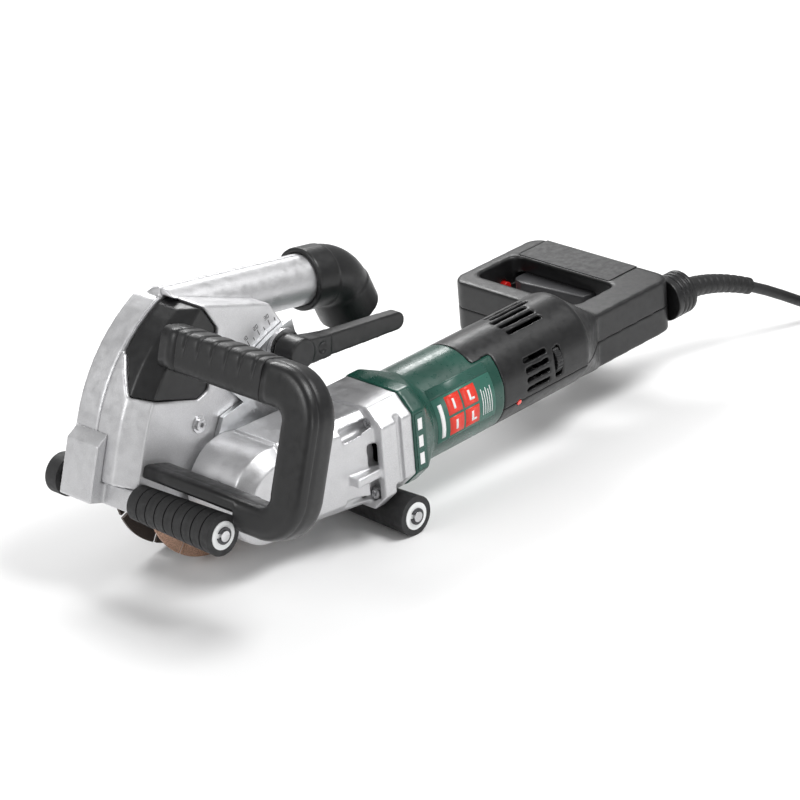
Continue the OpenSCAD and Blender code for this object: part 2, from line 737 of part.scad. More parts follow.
// Outline of a wheel of n straight teeth between two radii; the tooth is wide_in at its root
// and wide_out at its tip, as parts of one pitch.
function gear_outline(n, r_in, r_out, wide_in, wide_out) = [
    for (i = [0:1:n - 1], k = [-1, 0, 1, 2])
        let (a = 360 / n * (i + (k == -1 ? -wide_in : k == 0 ? -wide_out : k == 1 ? wide_out : wide_in) / 2))
            ((k == -1 || k == 2) ? r_in : r_out) * [cos(a), sin(a)]
];
module crown_gear() {
    r_in = crown_low * tan(crown_cone - tooth_under);
    r_out = crown_low * tan(crown_cone + tooth_over);
    color("dimgray") at_unit() difference() {
        union() {
            intersection() {
                rotate([-90, 0, 0]) translate([0, 0, -crown_low])
                    linear_extrude(crown_low - crown_high, scale = crown_high / crown_low)
                        polygon(gear_outline(crown_teeth, r_in, r_out, 0.44, 0.2));
                rod_y(pitch_crown - 0.4, -crown_low - 1, 0);
            }
            rod_y(pitch_crown - 0.4, -13, 0.1 - crown_low);
            rod_y(13, -18.3, -12);
        }
        rod_y(8.01, -20, 0);
    }
}
module pinion() {
    r_in = pitch_crown * tan(90 - crown_cone - tooth_under);
    r_out = pitch_crown * tan(90 - crown_cone + tooth_over);
    color("dimgray") at_unit() difference() {
        union() {
            translate([-pitch_crown, 0, 0]) rotate([0, 90, 0]) rotate([0, 0, pinion_turn])
                linear_extrude(9, scale = (pitch_crown - 9) / pitch_crown)
                    polygon(gear_outline(pinion_teeth, r_in, r_out, 0.46, 0.18));
            rod_x(9.5, -pitch_crown - 6, -pitch_crown);
        }
        rod_x(3.01, -40, -10);
    }
}
// Armature group.
module armature_shaft() {
    color("gainsboro") at_unit() {
        rod_x(3, -40, -pitch_crown + 8);
        rod_x(5, -230, -pitch_crown - 6);
        rod_x(4, -266, -229);
    }
}
module armature_core() {
    color("peru") at_unit() difference() {
        ring_x(22.6, 5, -212, -154);
        for (a = [0:30:330]) rotate([a, 0, 0]) translate([-213, -1.2, 19.8]) cube([60, 2.4, 4]);
    }
}
module commutator() {
    color("darkgoldenrod") at_unit() difference() {
        ring_x(12, 4, -251, -232);
        for (a = [0:15:345]) rotate([a, 0, 0]) translate([-252, -0.3, 11.2]) cube([18, 0.6, 2]);
    }
}
module cooling_fan() {
    color([0.2, 0.2, 0.2]) at_unit() {
        ring_x(8.5, 5, -134, -112);
        ring_x(31, 8.4, -134, -131.5);
        for (a = [0:30:330]) rotate([a, 0, 0]) translate([-132, -1, 12]) cube([15, 2, 18]);
    }
}

// Trigger and lock button in the loop.
trigger_hinge = [-417, -40];
module trigger() {
    color([0.35, 0.35, 0.36]) at_unit() difference() {
        translate([0, 0, trigger_z[0]]) linear_extrude(trigger_z[1] - trigger_z[0]) polygon([
            [-419, -37.2], [-404, -42], [-397, -102], [-399, -110], [-403, -113.4], [-419, -113.4]
        ]);
        translate([trigger_hinge[0], trigger_hinge[1], 0]) rod_z(1.25, -40, 10);
    }
}
module trigger_pin() {
    color("gainsboro") at_unit() translate([trigger_hinge[0], trigger_hinge[1], 0])
        rod_z(1.2, loop_z[0] + shell_wall, loop_z[1] - shell_wall);
}
module lock_button() {
    color("red") at_unit() translate([lock_x, 0, split_z]) {
        rod_y(4.9, -123.6, -116.5);
        rod_y(6.3, -125.6, -123.4);
    }
}

// Mains cord, in world coordinates: off the sleeve, down to the floor and into a coil.
cord_r = cord_d / 2;
cord_start = [
    rear_axle_x + spindle_run + sleeve_end[0] * cos(unit_rise) + sleeve_end[2] * sin(unit_rise),
    side_shift + motor_y + sleeve_end[1],
    disc_r - sleeve_end[0] * sin(unit_rise) + sleeve_end[2] * cos(unit_rise)
];
coil_at = [-455, 95];
coil_mid_r = 50;
coil_cols = 3;
coil_rows = 4;
coil_out_r = coil_mid_r + cord_d;
cord_route = [
    cord_start, [-340, 24.6, 43.5], [-358, 28, 34], [-376, 31, 24], [-394, 33.5, 15.5],
    [-412, 35.2, 9], [-433, 36, 5.2], [-455, 36, 4.5]
];
lead_route = [
    [-514, 95, 31.5], [-514, 112, 30], [-513.5, 130, 26],
    [-513, 148, 20.5], [-512.5, 165, 17.5], [-512, 182, 17]
];
function tangent(pts, i) =
    let (a = pts[max(i - 1, 0)], b = pts[min(i + 1, len(pts) - 1)]) (b - a) / norm(b - a);
function ring_points(at, dir, r, sides) =
    let (u = cross(dir, [0, 0, 1]) / norm(cross(dir, [0, 0, 1])), v = cross(u, dir))
        [for (k = [0:1:sides - 1]) at + r * (cos(k * 360 / sides) * u + sin(k * 360 / sides) * v)];
module sweep_tube(pts, r, sides) {
    n = len(pts);
    polyhedron(
        points = [for (i = [0:1:n - 1]) each ring_points(pts[i], tangent(pts, i), r, sides)],
        faces = concat(
            [[for (k = [0:1:sides - 1]) k]],
            [for (i = [0:1:n - 2], k = [0:1:sides - 1])
                let (m = (k + 1) % sides)
                    [i * sides + k, (i + 1) * sides + k, (i + 1) * sides + m, i * sides + m]],
            [[for (k = [sides - 1:-1:0]) (n - 1) * sides + k]]
        )
    );
}
module mains_cord() { color([0.05, 0.05, 0.05]) sweep_tube(cord_route, cord_r, 10); }
module cord_lead() { color([0.05, 0.05, 0.05]) sweep_tube(lead_route, cord_r, 10); }
module cord_coil() {
    color([0.05, 0.05, 0.05]) translate(coil_at) rotate_extrude()
        translate([coil_mid_r - coil_cols * cord_r, 0]) square([coil_cols * cord_d, coil_rows * cord_d]);
}
plug_r = 17;
module mains_plug() {
    color([0.05, 0.05, 0.05]) translate(lead_route[len(lead_route) - 1]) {
        rotate([-90, 0, 0]) cylinder(r1 = 6, r2 = 9, h = 16);
        rod_y(plug_r, 16, 46);
        for (x = [-9.5, 9.5]) translate([x, 0, 0]) rod_y(2.4, 46, 65);
    }
}

guard_near_shell();
guard_far_shell();
front_carrier();
rear_carrier();
front_axle();
rear_axle();
axle_circlips();
handle_mount();
bow_handle();
bow_grip();
guard_screws();
face_screw();
clamp_stud();
clamp_washer();
clamp_lever();
suction_elbow();
front_roller_core();
front_roller_sleeve();
rear_roller_core();
rear_roller_sleeve();
front_wheel();
rear_wheel();
gear_case();
depth_bracket();
bearing_cover();
gear_case_screws();
spindle_bearing();
motor_housing();
stator();
front_bearing();
rear_bearing();
brush_holders();
carbon_brushes();
rear_shell_upper();
rear_shell_lower();
grip_cover();
switch_module();
signal_lens();
cable_collar();
cable_sleeve();
spindle();
crown_gear();
disc_flange();
disc_spacer();
clamp_nut();
near_disc();
far_disc();
armature_shaft();
armature_core();
commutator();
cooling_fan();
pinion();
trigger();
trigger_pin();
lock_button();
speed_dial();
mains_cord();
cord_coil();
cord_lead();
mains_plug();
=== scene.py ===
import json
import math

import bmesh
import bpy
from mathutils import Matrix, Vector


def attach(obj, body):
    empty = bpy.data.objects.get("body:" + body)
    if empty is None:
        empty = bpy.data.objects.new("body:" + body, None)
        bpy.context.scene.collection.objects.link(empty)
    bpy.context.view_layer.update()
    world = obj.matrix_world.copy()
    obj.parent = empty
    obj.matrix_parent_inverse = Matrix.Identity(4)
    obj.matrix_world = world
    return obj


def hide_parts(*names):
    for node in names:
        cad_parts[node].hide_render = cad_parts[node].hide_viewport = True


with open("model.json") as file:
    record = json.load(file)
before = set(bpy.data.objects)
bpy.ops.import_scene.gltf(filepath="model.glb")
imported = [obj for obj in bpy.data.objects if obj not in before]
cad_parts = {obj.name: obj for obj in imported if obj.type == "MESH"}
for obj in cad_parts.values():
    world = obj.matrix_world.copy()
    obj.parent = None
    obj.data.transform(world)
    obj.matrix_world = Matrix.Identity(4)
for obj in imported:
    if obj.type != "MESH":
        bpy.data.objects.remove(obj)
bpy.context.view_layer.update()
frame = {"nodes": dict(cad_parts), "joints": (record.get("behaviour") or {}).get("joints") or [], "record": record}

MM = 0.001

# ---------------------------------------------------------------- frames
JOINTS = {joint["name"]: joint for joint in frame["joints"]}
BODY_OF = {node: body for body, nodes in frame["record"]["behaviour"]["bodies"].items() for node in nodes}
SLOT_OF = {part["node"]: part["material_slot"] for part in frame["record"]["subparts"]}
ROLLER_JOINT_Y = 40 * MM      # the roller joints lie this far in from the axles' near ends
FLOOR_Z = 0.0

front_axle = Vector(JOINTS["front_roller_spin"]["pos_m"]) + Vector((0, ROLLER_JOINT_Y, 0))
rear_axle = Vector(JOINTS["rear_roller_spin"]["pos_m"]) + Vector((0, ROLLER_JOINT_Y, 0))
nose_up = math.atan2(front_axle.z - rear_axle.z, front_axle.x - rear_axle.x)
# Guard frame: X forward in the roller plane, Z square to it, origin at the front axle's near end.
GUARD = Matrix.Translation(front_axle) @ Matrix.Rotation(-nose_up, 4, "Y") @ Matrix.Scale(MM, 4)

motor_axis = Vector(JOINTS["armature_spin"]["axis"])
unit_rise = math.atan2(-motor_axis.z, motor_axis.x)
spindle_at = Vector(JOINTS["spindle_spin"]["pos_m"])
# Unit frame: X forward along the motor axis, origin where it crosses the spindle.
UNIT = Matrix.Translation(spindle_at) @ Matrix.Rotation(unit_rise, 4, "Y") @ Matrix.Scale(MM, 4)
DISC_R = 62.5
RIM_DEPTH = 9.4           # radial depth of the discs' segments


# ---------------------------------------------------------------- camera
CAMERA_AT = Vector((1734.2, 1667.9, 602.2))      # in the guard frame
CAMERA_TURN, CAMERA_TILT, CAMERA_ROLL = 131.3497, 78.5409, 8.9983      # degrees
CAMERA_LENS = 159.87


def make_camera():
    """Camera at the photograph's viewing angle, set in the guard frame."""
    data = bpy.data.cameras.new("camera")
    data.sensor_width = 36.0
    data.lens = CAMERA_LENS
    data.clip_start, data.clip_end = 0.05, 30.0
    camera = bpy.data.objects.new("camera", data)
    bpy.context.scene.collection.objects.link(camera)
    turn = Matrix.Rotation(math.radians(CAMERA_TURN), 4, "Z")
    turn @= Matrix.Rotation(math.radians(CAMERA_TILT), 4, "X")
    turn @= Matrix.Rotation(math.radians(CAMERA_ROLL), 4, "Z")
    camera.matrix_world = Matrix.Translation(GUARD @ CAMERA_AT) @ Matrix.Rotation(-nose_up, 4, "Y") @ turn
    bpy.context.scene.camera = camera


make_camera()


# ---------------------------------------------------------------- mesh helpers
def add_object(name, data):
    piece = bpy.data.objects.new(name, data)
    bpy.context.scene.collection.objects.link(piece)
    return piece


def add_mesh(name, points, faces, smooth=True):
    data = bpy.data.meshes.new(name)
    data.from_pydata([tuple(p) for p in points], [], faces)
    work = bmesh.new()
    work.from_mesh(data)
    bmesh.ops.recalc_face_normals(work, faces=work.faces)
    work.to_mesh(data)
    work.free()
    for polygon in data.polygons:
        polygon.use_smooth = smooth
    return add_object(name, data)


def rings_mesh(name, rings, matrix, closed=False):
    """Skin over rings of points; the ends are capped, or joined to each other when closed."""
    sides, count = len(rings[0]), len(rings)
    points = [matrix @ Vector(p) for ring in rings for p in ring]
    faces = []
    for i in range(count if closed else count - 1):
        a, b = i * sides, (i + 1) % count * sides
        faces += [(a + k, a + (k + 1) % sides, b + (k + 1) % sides, b + k) for k in range(sides)]
    if not closed:
        faces += [tuple(range(sides)), tuple(reversed(range((count - 1) * sides, count * sides)))]
    return add_mesh(name, points, faces)


def box_mesh(name, low, high, matrix):
    """Thin plate or bar from low to high, in the frame that matrix gives."""
    points = [matrix @ Vector((x, y, z)) for x in (low[0], high[0]) for y in (low[1], high[1])
              for z in (low[2], high[2])]
    faces = [(0, 1, 3, 2), (4, 6, 7, 5), (0, 4, 5, 1), (2, 3, 7, 6), (0, 2, 6, 4), (1, 5, 7, 3)]
    return add_mesh(name, points, faces, smooth=False)


def join(name, pieces):
    """Joins new pieces into one object with that name."""
    work = bmesh.new()
    for piece in pieces:
        work.from_mesh(piece.data)
    data = bpy.data.meshes.new(name)
    work.to_mesh(data)
    work.free()
    for piece in pieces:
        bpy.data.objects.remove(piece)
    return add_object(name, data)


def dress(piece, body, material):
    piece.data.materials.clear()
    piece.data.materials.append(material)
    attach(piece, body)
    return piece


def stand_for(piece, node, material):
    """The piece takes a CAD node's place, with its body and its slot."""
    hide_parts(node)
    return dress(piece, BODY_OF[node], material)


EXTRA_ROUNDS = 18


def smooth(work, verts, rounds):
    for _ in range(rounds):
        bmesh.ops.smooth_vert(
            work, verts=verts, factor=0.5, use_axis_x=True, use_axis_y=True, use_axis_z=True
        )


def soften(node, voxel, rounds, extra=None):
    """Takes a CAD node's place with its edges rounded: an even remesh, then smoothing.

    extra is a test on a point in the unit frame; where it holds, more rounds are given.
    """
    voxel = voxel * 1.0
    piece = add_object(node + "_skin", frame["nodes"][node].data.copy())
    remesh = piece.modifiers.new("remesh", "REMESH")
    remesh.mode = "VOXEL"
    remesh.voxel_size = voxel * MM
    remesh.adaptivity = 0.0
    shape = bpy.data.meshes.new_from_object(piece.evaluated_get(bpy.context.evaluated_depsgraph_get()))
    piece.modifiers.clear()
    piece.data = shape
    work = bmesh.new()
    work.from_mesh(shape)
    smooth(work, work.verts, rounds)
    if extra:
        inverse = UNIT.inverted()
        smooth(work, [v for v in work.verts if extra(inverse @ v.co)], EXTRA_ROUNDS)
    work.to_mesh(shape)
    work.free()
    for polygon in shape.polygons:
        polygon.use_smooth = True
    return stand_for(piece, node, MATERIALS[SLOT_OF[node]])


# ---------------------------------------------------------------- materials
BUMP_DEPTH = 0.2 * MM


class Shader:
    """A principled material with a few node shortcuts."""

    def __init__(self, name, metallic=0.0, coat=0.0, edge=0.6):
        self.material = bpy.data.materials.new(name)
        self.material.use_nodes = True
        self.nodes = self.material.node_tree.nodes
        self.links = self.material.node_tree.links
        self.surface = self.nodes["Principled BSDF"]
        self.surface.inputs["Metallic"].default_value = metallic
        self.surface.inputs["Coat Weight"].default_value = coat
        self.place = self.nodes.new("ShaderNodeTexCoord").outputs["Object"]
        self.edge = edge

    def link(self, source, target):
        self.links.new(source, target)

    def noise(self, scale, detail=3.0, stretch=None):
        node = self.nodes.new("ShaderNodeTexNoise")
        node.inputs["Scale"].default_value = scale
        node.inputs["Detail"].default_value = detail
        place = self.place
        if stretch:
            mapping = self.nodes.new("ShaderNodeMapping")
            mapping.inputs["Scale"].default_value = stretch
            self.link(place, mapping.inputs["Vector"])
            place = mapping.outputs["Vector"]
        self.link(place, node.inputs["Vector"])
        return node.outputs["Fac"]

    def ramp(self, value, low, high, to_low=0.0, to_high=1.0):
        node = self.nodes.new("ShaderNodeMapRange")
        for name, number in (("From Min", low), ("From Max", high), ("To Min", to_low), ("To Max", to_high)):
            node.inputs[name].default_value = number
        self.link(value, node.inputs["Value"])
        return node.outputs["Result"]

    def mix(self, factor, a, b):
        node = self.nodes.new("ShaderNodeMix")
        node.data_type = "RGBA"
        self.link(factor, node.inputs["Factor"])
        for value, socket in ((a, node.inputs["A"]), (b, node.inputs["B"])):
            if isinstance(value, tuple):
                socket.default_value = (*value, 1.0)
            else:
                self.link(value, socket)
        return node.outputs["Result"]

    def worn(self):
        """0 on flat surface, 1 on outer edges."""
        pointed = self.nodes.new("ShaderNodeNewGeometry").outputs["Pointiness"]
        return self.ramp(pointed, 0.52, 0.6)

    def finish(self, colour, roughness, bump=None, strength=0.2):
        self.link(colour, self.surface.inputs["Base Color"])
        self.link(roughness, self.surface.inputs["Roughness"])
        rounded = self.nodes.new("ShaderNodeBevel")
        rounded.samples = 4
        rounded.inputs["Radius"].default_value = self.edge * MM
        normal = rounded.outputs["Normal"]
        if bump is not None:
            node = self.nodes.new("ShaderNodeBump")
            node.inputs["Strength"].default_value = strength
            node.inputs["Distance"].default_value = BUMP_DEPTH
            self.link(bump, node.inputs["Height"])
            self.link(normal, node.inputs["Normal"])
            normal = node.outputs["Normal"]
        self.link(normal, self.surface.inputs["Normal"])
        return self.material


def shade(colour, amount):
    return tuple(min(1.0, c * amount) for c in colour)


def plastic(name, colour, rough, strength=0.25, coat=0.0, wear=1.8):
    """Moulded plastic: fine spark-eroded grain, slight mottling and polished edges."""
    s = Shader(name, coat=coat)
    tone = s.mix(s.ramp(s.noise(30, 4), 0.3, 0.7), shade(colour, 0.82), shade(colour, 1.2))
    tone = s.mix(s.worn(), tone, shade(colour, wear))
    roughness = s.ramp(s.noise(180), 0.3, 0.7, rough - 0.06, rough + 0.08)
    return s.finish(tone, roughness, s.noise(1400, 2), strength)


def cast_metal(name, colour, rough=0.4):
    """Silver paint on a sand casting: sparkle, orange peel and rubbed edges."""
    s = Shader(name, metallic=0.75, edge=1.0)
    tone = s.mix(s.ramp(s.noise(22, 5), 0.3, 0.7), shade(colour, 0.9), shade(colour, 1.06))
    tone = s.mix(s.ramp(s.noise(2600, 1), 0.45, 0.62), tone, shade(colour, 1.15))
    tone = s.mix(s.worn(), tone, shade(colour, 1.25))
    return s.finish(tone, s.ramp(s.noise(140, 4), 0.3, 0.7, rough - 0.08, rough + 0.1), s.noise(700, 3), 0.3)


def turned_metal(name, colour, rough=0.25, lines=2200):
    """Turned or ground metal with fine lines across Y and small stains."""
    s = Shader(name, metallic=1.0, edge=0.3)
    fine = s.noise(1.0, 2, stretch=(60, lines, 60))
    tone = s.mix(s.ramp(fine, 0.3, 0.7), shade(colour, 0.85), shade(colour, 1.1))
    tone = s.mix(s.ramp(s.noise(90, 5), 0.55, 0.75), tone, shade(colour, 0.72))
    return s.finish(tone, s.ramp(fine, 0.3, 0.7, rough - 0.05, rough + 0.12), fine, 0.12)


def rubber(name, colour, rough=0.62):
    """Rubber with a dusty bloom and fine pores."""
    s = Shader(name)
    tone = s.mix(s.ramp(s.noise(60, 5), 0.35, 0.7), shade(colour, 0.8), shade(colour, 1.35))
    tone = s.mix(s.worn(), tone, shade(colour, 1.9))
    return s.finish(tone, s.ramp(s.noise(220), 0.3, 0.7, rough - 0.1, rough + 0.1), s.noise(1500, 3), 0.22)


def ring_distance(s):
    """Distance of a point from the spindle's axis, in metres."""
    apart = s.nodes.new("ShaderNodeVectorMath")
    apart.operation = "SUBTRACT"
    s.link(s.place, apart.inputs[0])
    apart.inputs[1].default_value = spindle_at
    flat = s.nodes.new("ShaderNodeVectorMath")
    flat.operation = "MULTIPLY"
    flat.inputs[1].default_value = (1, 0, 1)
    s.link(apart.outputs["Vector"], flat.inputs[0])
    size = s.nodes.new("ShaderNodeVectorMath")
    size.operation = "LENGTH"
    s.link(flat.outputs["Vector"], size.inputs[0])
    return size.outputs["Value"]


def disc_metal(name, core, rim):
    """Steel core, mottled, with a gritty diamond rim round the axis."""
    s = Shader(name, metallic=0.85, edge=0.2)
    radius = ring_distance(s)
    on_rim = s.ramp(radius, (DISC_R - RIM_DEPTH) * MM, (DISC_R - RIM_DEPTH + 0.4) * MM)
    grit = s.noise(1900, 2)
    base = s.mix(s.ramp(s.noise(50, 5), 0.3, 0.7), shade(core, 0.8), shade(core, 1.15))
    edge = s.mix(s.ramp(grit, 0.4, 0.62), shade(rim, 0.6), shade(rim, 1.25))
    tone = s.mix(on_rim, base, edge)
    return s.finish(tone, s.ramp(grit, 0.3, 0.7, 0.32, 0.6), grit, 0.5)


BLACK = (0.006, 0.006, 0.0065)
MATERIALS = {
    "casting": cast_metal("silver_casting", (0.56, 0.56, 0.57)),
    "bracket_steel": turned_metal("zinc_plate", (0.62, 0.63, 0.64), 0.32, lines=400),
    "steel": turned_metal("bright_steel", (0.66, 0.66, 0.67)),
    "dark_steel": turned_metal("black_steel", (0.09, 0.09, 0.095), 0.35),
    "black_plastic": plastic("black_plastic", BLACK, rough=0.36),
    "soft_grip": rubber("soft_grip", (0.008, 0.008, 0.0085), 0.48),
    "roller_rubber": rubber("roller_rubber", (0.009, 0.009, 0.0095)),
    "roller_core": plastic("white_core", (0.75, 0.76, 0.76), rough=0.35, strength=0.1, wear=1.1),
    "green_plastic": plastic("green_plastic", (0.004, 0.055, 0.038), rough=0.3, strength=0.18, coat=0.15),
    "disc_copper": disc_metal("copper_disc", (0.42, 0.4, 0.38), (0.52, 0.33, 0.24)),
    "disc_steel": disc_metal("dark_disc", (0.16, 0.16, 0.165), (0.12, 0.1, 0.09)),
    "winding": turned_metal("copper_winding", (0.72, 0.33, 0.14), 0.3, lines=900),
    "lamination": turned_metal("lamination_stack", (0.2, 0.2, 0.21), 0.45, lines=1500),
    "brass_part": turned_metal("brass", (0.75, 0.55, 0.22), 0.25),
    "carbon": plastic("carbon", (0.03, 0.03, 0.03), rough=0.6),
    "trigger_plastic": plastic("trigger_plastic", (0.06, 0.06, 0.063), rough=0.38),
    "lock_plastic": plastic("lock_plastic", (0.5, 0.01, 0.008), rough=0.3),
    "lens_plastic": plastic("lens_plastic", (0.65, 0.03, 0.02), rough=0.15, coat=0.6, strength=0.02),
    "cord_rubber": rubber("cord_rubber", (0.008, 0.008, 0.0085), 0.5),
}
LABEL_GREEN = plastic("label_green", (0.016, 0.075, 0.056), rough=0.32, strength=0.05)
LABEL_DARK = plastic("label_dark", (0.01, 0.045, 0.034), rough=0.3, strength=0.05)
LABEL_RED = plastic("label_red", (0.42, 0.02, 0.01), rough=0.32, strength=0.05)
LABEL_WHITE = plastic("label_white", (0.8, 0.8, 0.8), rough=0.4, strength=0.05, wear=1.0)
SCALE_INK = plastic("scale_ink", (0.03, 0.03, 0.03), rough=0.5, strength=0.05)


# ---------------------------------------------------------------- cord
CORD_R = 4.5 * MM
COIL_AT = Vector((-455, 95)) * MM
COIL_R = 50 * MM
COIL_ROWS = 4
CORD_ROUTE = [
    (-340, 24.6, 43.5), (-358, 28, 34), (-376, 31, 24), (-394, 33.5, 15.5), (-412, 35.2, 9),
    (-433, 36, 5.2),
]
LEAD_ROUTE = [
    (-514, 112, 30), (-513.5, 130, 26), (-513, 148, 20.5), (-512.5, 165, 17.5), (-512, 182, 17),
]
SLEEVE_END = Vector((-547, 12, -36))
SLEEVE_START = Vector((-472.1, 3, -15))


def coil_points():
    """Turns of the coil: three side by side and four high, laid clockwise from above."""
    radii = [COIL_R + 2 * CORD_R, COIL_R, COIL_R - 2 * CORD_R]
    turns = []
    for row in range(COIL_ROWS):
        order = radii if row % 2 == 0 else radii[::-1]
        turns += [(radius, CORD_R * (2 * row + 1)) for radius in order]
    steps = 40               # points in a turn
    cross = 0.22             # share of a turn in which the cord crosses over to the next one
    last = len(turns) * steps - steps * 3 // 4
    points = []
    for i in range(last + 1):
        turn, part = divmod(i / steps, 1.0)
        turn = int(turn)
        near = turns[turn]
        after = turns[min(turn + 1, len(turns) - 1)]
        t = max(0.0, (part - 1 + cross) / cross)
        t = t * t * (3 - 2 * t)
        radius, height = (a + (b - a) * t for a, b in zip(near, after))
        angle = -math.pi / 2 - 2 * math.pi * i / steps
        x, y = COIL_AT.x + radius * math.cos(angle), COIL_AT.y + radius * math.sin(angle)
        points.append(Vector((x, y, height)))
    return points


def make_cord():
    start = UNIT @ SLEEVE_END
    controls = [start] + [Vector(p) * MM for p in CORD_ROUTE]
    path = controls + coil_points() + [Vector(p) * MM for p in LEAD_ROUTE]
    data = bpy.data.curves.new("mains_cord_curve", "CURVE")
    data.dimensions = "3D"
    data.bevel_depth = CORD_R
    data.bevel_resolution = 5
    data.use_fill_caps = True
    spline = data.splines.new("POLY")
    spline.points.add(len(path) - 1)
    for point, place in zip(spline.points, path):
        point.co = (*place, 1.0)
    length = sum((b - a).length for a, b in zip(path, path[1:]))
    piece = add_object("cord", data)
    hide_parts("mains_cord", "cord_coil", "cord_lead")
    dress(piece, BODY_OF["mains_cord"], MATERIALS["cord_rubber"])
    return piece, start, length


def make_tie():
    """Strap round the coil's bundle, on the side away from the plug."""
    low, high = COIL_R - 3.3 * CORD_R, COIL_R + 3.3 * CORD_R
    top = 2 * COIL_ROWS * CORD_R + 0.9 * MM
    half, thick, corner = 8 * MM, 0.9 * MM, 4 * MM

    def outline(inset):
        corners = [(low + inset, inset * 0.2), (high - inset, inset * 0.2), (high - inset, top - inset),
                   (low + inset, top - inset)]
        inward = ((1, 1), (-1, 1), (-1, -1), (1, -1))
        points = []
        for (x, z), (sx, sz), start in zip(corners, inward, (180, 270, 0, 90)):
            for k in range(7):
                a = math.radians(start + 15 * k)
                points.append((x + corner * (sx + math.cos(a)), z + corner * (sz + math.sin(a))))
        return points

    turn = Matrix.Translation((COIL_AT.x, COIL_AT.y, 0)) @ Matrix.Rotation(math.radians(35), 4, "Z")
    rings = [[(x, y, z) for x, z in outline(inset)] for y, inset in
             ((-half, 0.0), (half, 0.0), (half, thick), (-half, thick))]
    piece = rings_mesh("cord_tie", rings, turn, closed=True)
    return dress(piece, BODY_OF["cord_coil"], MATERIALS["cord_rubber"])


cord_piece, cord_exit, cord_length = make_cord()
cord_tie = make_tie()


# ---------------------------------------------------------------- bow handle
def rounded_section(a, b, power, sides=112):
    """Superellipse of half sizes a and b as (u, v) pairs."""
    points = []
    for k in range(sides):
        t = 2 * math.pi * k / sides
        u, v = (math.copysign(abs(f) ** (2 / power), f) for f in (math.cos(t), math.sin(t)))
        points.append((u * a, v * b))
    return points


BOW_MID_X = -14
BOW_ROOT = -90.2         # the top arm starts here, inside the handle mount
BOW_DEPTH = 14           # half of the bow's size along X
BOW_HALF = 16            # half of its size across the arm, in the plane of the loop
BOW_TOP = 114            # level of the top arm's middle
BOW_LIMB = 50            # place of the outer limb's middle along Y
BOW_FOOT = 16.5
BOW_FOOT_HALF = 11.5
BOW_BEND = 23
BOW_POWER = 4.4
PARTING = (2, 54)        # points of the section, outside and inside the loop, in the parting line
PARTING_DEPTH = 0.95
BEND_STEPS = 14
GRIP_SPAN = (-74, 12)
GRIP_SKIN = 2.0
GROOVE_PITCH = 14


def bow_ring(y, z, angle, half, inset=0.0, parted=True):
    """Ring of the bow at (y, z); angle is the direction it runs in, from +Y towards +Z."""
    normal = (-math.sin(angle), math.cos(angle))
    section = rounded_section(half - inset, BOW_DEPTH - inset, BOW_POWER)
    if parted:
        for k in PARTING:
            section[k] = (section[k][0] * PARTING_DEPTH, section[k][1])
    return [(BOW_MID_X + v, y + normal[0] * u, z + normal[1] * u) for u, v in section]


def bow_bend(centre_z, start, end_half):
    """Quarter bend of the bow from start degrees on, narrowing or widening to end_half."""
    rings = []
    for k in range(BEND_STEPS + 1):
        a = math.radians(start - 90 * k / BEND_STEPS)
        half = BOW_HALF + (end_half - BOW_HALF) * k / BEND_STEPS
        y = BOW_LIMB - BOW_BEND + BOW_BEND * math.cos(a)
        rings.append(bow_ring(y, centre_z + BOW_BEND * math.sin(a), a - math.pi / 2, half))
    return rings


def make_bow():
    """Top arm, with a step under the grip, outer limb and the low arm that ends in a flat tongue."""
    start, end = GRIP_SPAN
    step = 0.6
    top_arm = ((BOW_ROOT, 0), (-80, 0), (start - step, 0), (start, GRIP_SKIN), (-30, GRIP_SKIN),
               (end, GRIP_SKIN), (end + step, 0), (20, 0))
    rings = [bow_ring(y, BOW_TOP, 0, BOW_HALF, inset) for y, inset in top_arm]
    rings += bow_bend(BOW_TOP - BOW_BEND, 90, BOW_HALF)
    rings += [bow_ring(BOW_LIMB, z, -math.pi / 2, BOW_HALF) for z in (80, 68, 56)]
    rings += bow_bend(BOW_FOOT + BOW_BEND, 0, BOW_FOOT_HALF)
    # Along Y, level and half height of the low arm.
    low_arm = ((18, BOW_FOOT, BOW_FOOT_HALF), (8, 16.6, 11.4), (5.5, 19, 9), (4.2, 22.4, 5.7),
               (-20, 22.5, 5.6), (-60, 22.5, 5.6), (-87.9, 22.5, 5.6))
    rings += [bow_ring(y, z, math.pi, half) for y, z, half in low_arm]
    piece = rings_mesh("bow", rings, GUARD)
    return stand_for(piece, "bow_handle", MATERIALS["black_plastic"])


def make_bow_grip():
    """Soft cover of the top arm: pads with a groove between each two, plain on its front and back."""
    gap, steps = 0.3, 86
    start, end = GRIP_SPAN[0] + gap, GRIP_SPAN[1] - gap
    grooves = [GRIP_SPAN[0] + 8 + GROOVE_PITCH * i for i in range(6)]
    outer = []
    for i in range(steps + 1):
        y = start + (end - start) * i / steps
        near = min(abs(y - g) for g in grooves)
        swell = math.sin(min(2 * near / GROOVE_PITCH, 1.0) * math.pi / 2)
        groove = 1.6 * math.exp(-(near / 1.2) ** 2) - 0.4 * swell
        plain = bow_ring(y, BOW_TOP, 0, BOW_HALF, 0.1, parted=False)
        grooved = bow_ring(y, BOW_TOP, 0, BOW_HALF, groove, parted=False)
        ring = []
        for a, b in zip(plain, grooved):
            share = min(1.0, max(0.0, ((a[2] - BOW_TOP) / BOW_HALF + 0.1) / 0.5))
            ring.append(Vector(a).lerp(Vector(b), share))
        outer.append(ring)
    inner = [bow_ring(y, BOW_TOP, 0, BOW_HALF, GRIP_SKIN, parted=False) for y in (end, start)]
    piece = rings_mesh("bow_grip_cover", outer + inner, GUARD, closed=True)
    return stand_for(piece, "bow_grip", MATERIALS["soft_grip"])


